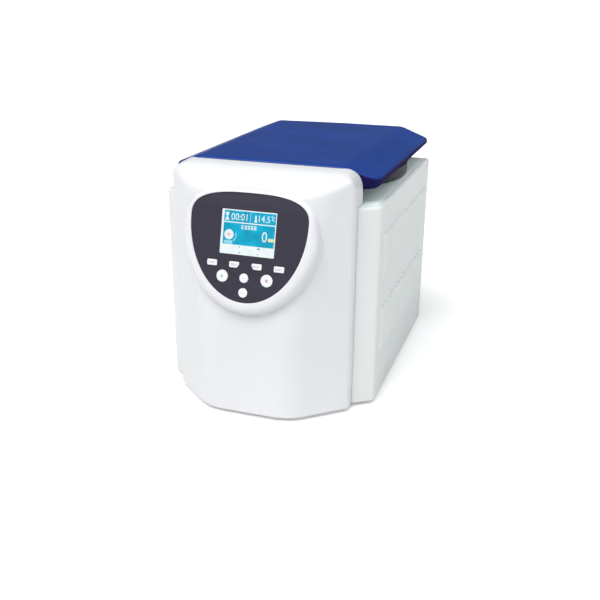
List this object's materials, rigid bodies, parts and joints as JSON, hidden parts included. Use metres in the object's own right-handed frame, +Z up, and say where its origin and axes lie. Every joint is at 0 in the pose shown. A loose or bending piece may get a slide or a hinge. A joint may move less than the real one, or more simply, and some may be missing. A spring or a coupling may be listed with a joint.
{
  "type": "laboratory centrifuge",
  "caption": "Benchtop refrigerated laboratory centrifuge: bow-fronted white housing with tilted control panel, hinged blue lid, fixed-angle rotor.",
  "frame": {"origin": "on the floor, below the centre of the bounding box", "axes": "+Z up; -Y is the front with the control panel; +X is the right side seen from the front; +Y runs back along the long side to the lid hinge"},
  "size_m": [0.41, 0.6118, 0.438],
  "materials": {
    "white_moulding": "gloss",
    "white_paint": "satin",
    "charcoal": "satin",
    "window": "clear",
    "screen": "lit display",
    "board": "solder mask",
    "key": "satin",
    "black_rubber": "matte",
    "dark_paint": "satin",
    "black_paint": "gloss",
    "foam": "matte",
    "copper": "drawn",
    "stainless": "brushed",
    "rotor_alloy": "anodised",
    "fins": "mill",
    "black_plastic": "matte",
    "fan_plastic": "satin",
    "rocker_green": "gloss",
    "lid_blue": "satin",
    "power_case": "mill",
    "zinc_steel": "zinc plated"
  },
  "bodies": {
    "housing": {"base_pan": "zinc_steel", "feet": "black_rubber", "left_side_panel": "white_paint", "right_side_panel": "white_paint", "back_panel": "white_paint", "top_deck": "white_paint", "front_fascia": "white_moulding", "control_bezel": "charcoal", "display_window": "window", "lcd_module": "screen", "control_board": "board", "subframe": "dark_paint", "armour_ring": "dark_paint", "insulation_jacket": "foam", "evaporator_coil": "copper", "chamber_bowl": "stainless", "chamber_gasket": "black_rubber", "temperature_probe": "stainless", "motor_dampers": "black_rubber", "motor_body": "dark_paint", "imbalance_sensor": "black_plastic", "shaft_boot": "black_rubber", "compressor": "black_paint", "compressor_grommets": "black_rubber", "condenser": "fins", "fan_shroud": "black_plastic", "fan_motor": "black_plastic", "filter_dryer": "copper", "suction_line": "copper", "discharge_line": "copper", "electronics_tray": "zinc_steel", "inverter_drive": "black_plastic", "power_supply": "power_case", "power_inlet": "black_plastic", "switch_frame": "black_plastic", "latch_housing": "zinc_steel", "latch_solenoid": "black_plastic", "hinge_brackets": "dark_paint", "hinge_pin": "zinc_steel", "hinge_springs": "zinc_steel", "panel_screws": "zinc_steel"},
    "lid": {"lid_cover": "lid_blue", "lid_liner": "black_plastic", "lid_frame": "zinc_steel", "hinge_arms": "dark_paint", "lid_striker": "stainless"},
    "rotor_group": {"drive_shaft": "zinc_steel", "rotor": "rotor_alloy", "rotor_nut": "black_plastic"},
    "fan": {"fan_blades": "fan_plastic"},
    "rocker": {"power_rocker": "rocker_green"},
    "bolt": {"latch_bolt": "zinc_steel"},
    "key_f1_body": {"key_f1": "key"},
    "key_f2_body": {"key_f2": "key"},
    "key_f3_body": {"key_f3": "key"},
    "key_f4_body": {"key_f4": "key"},
    "key_start_body": {"key_start": "key"},
    "key_stop_body": {"key_stop": "key"},
    "key_up_body": {"key_up": "key"},
    "key_down_body": {"key_down": "key"}
  },
  "joints": [
    {"name": "lid_hinge", "type": "hinge", "parent": "housing", "child": "lid", "pos_m": [0, 0.28289, 0.392], "axis": [-1, 0, 0], "range_deg": [0, 75]},
    {"name": "rotor_spin", "type": "hinge", "parent": "housing", "child": "rotor_group", "pos_m": [0, 0.08089, 0.298], "axis": [0, 0, 1], "continuous": true},
    {"name": "fan_spin", "type": "hinge", "parent": "housing", "child": "fan", "pos_m": [0, 0.20089, 0.09], "axis": [0, 1, 0], "continuous": true},
    {"name": "rocker_tilt", "type": "hinge", "parent": "housing", "child": "rocker", "pos_m": [0.172, 0.26939, 0.118], "axis": [-1, 0, 0], "range_deg": [0, 16]},
    {"name": "bolt_slide", "type": "slide", "parent": "housing", "child": "bolt", "axis": [1, 0, 0], "range_m": [0, 0.016], "stiffness_N_per_m": 300, "springref_m": -0.004},
    {"name": "key_f1_press", "type": "slide", "parent": "housing", "child": "key_f1_body", "axis": [0, 0.969, -0.247], "range_m": [0, 0.0008], "stiffness_N_per_m": 1500, "springref_m": -0.0003},
    {"name": "key_f2_press", "type": "slide", "parent": "housing", "child": "key_f2_body", "axis": [0, 0.969, -0.247], "range_m": [0, 0.0008], "stiffness_N_per_m": 1500, "springref_m": -0.0003},
    {"name": "key_f3_press", "type": "slide", "parent": "housing", "child": "key_f3_body", "axis": [0, 0.969, -0.247], "range_m": [0, 0.0008], "stiffness_N_per_m": 1500, "springref_m": -0.0003},
    {"name": "key_f4_press", "type": "slide", "parent": "housing", "child": "key_f4_body", "axis": [0, 0.969, -0.247], "range_m": [0, 0.0008], "stiffness_N_per_m": 1500, "springref_m": -0.0003},
    {"name": "key_start_press", "type": "slide", "parent": "housing", "child": "key_start_body", "axis": [0, 0.969, -0.247], "range_m": [0, 0.0008], "stiffness_N_per_m": 1500, "springref_m": -0.0003},
    {"name": "key_stop_press", "type": "slide", "parent": "housing", "child": "key_stop_body", "axis": [0, 0.969, -0.247], "range_m": [0, 0.0008], "stiffness_N_per_m": 1500, "springref_m": -0.0003},
    {"name": "key_up_press", "type": "slide", "parent": "housing", "child": "key_up_body", "axis": [0, 0.969, -0.247], "range_m": [0, 0.0008], "stiffness_N_per_m": 1500, "springref_m": -0.0003},
    {"name": "key_down_press", "type": "slide", "parent": "housing", "child": "key_down_body", "axis": [0, 0.969, -0.247], "range_m": [0, 0.0008], "stiffness_N_per_m": 1500, "springref_m": -0.0003}
  ]
}
